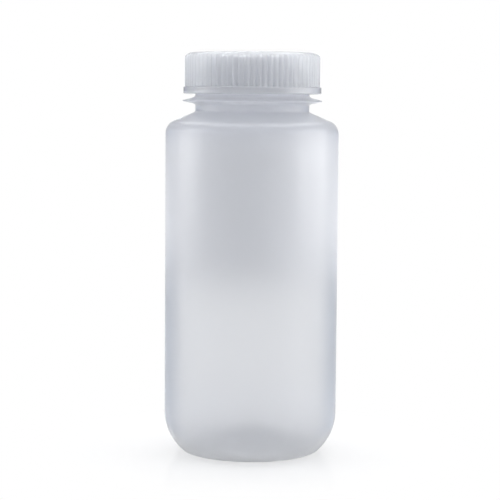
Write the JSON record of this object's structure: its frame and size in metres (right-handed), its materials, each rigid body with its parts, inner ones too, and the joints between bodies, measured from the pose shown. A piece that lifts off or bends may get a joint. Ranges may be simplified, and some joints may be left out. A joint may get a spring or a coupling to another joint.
{
  "type": "wide-mouth bottle",
  "caption": "Cylindrical wide-mouth laboratory bottle in milky translucent plastic, with a threaded neck, a thin neck flange and a ribbed screw cap that lifts off.",
  "frame": {"origin": "middle of the standing ring's face, under the bottle's axis", "axes": "+Z along the bottle's axis, from base to cap; -Y faces the picture's camera"},
  "size_m": [0.073, 0.073, 0.1686],
  "materials": {
    "bottle": "natural polypropylene, milky and translucent, smooth and glossy outside",
    "cap": "natural polypropylene, milky and translucent, moulded glossy, with upright ribs"
  },
  "bodies": {
    "bottle": {"bottle": "bottle"},
    "cap": {"cap": "cap"}
  },
  "joints": [
    {"name": "cap_lift", "type": "slide", "parent": "bottle", "child": "cap", "axis": [0, 0, 1], "range_m": [0, 0.06]}
  ]
}
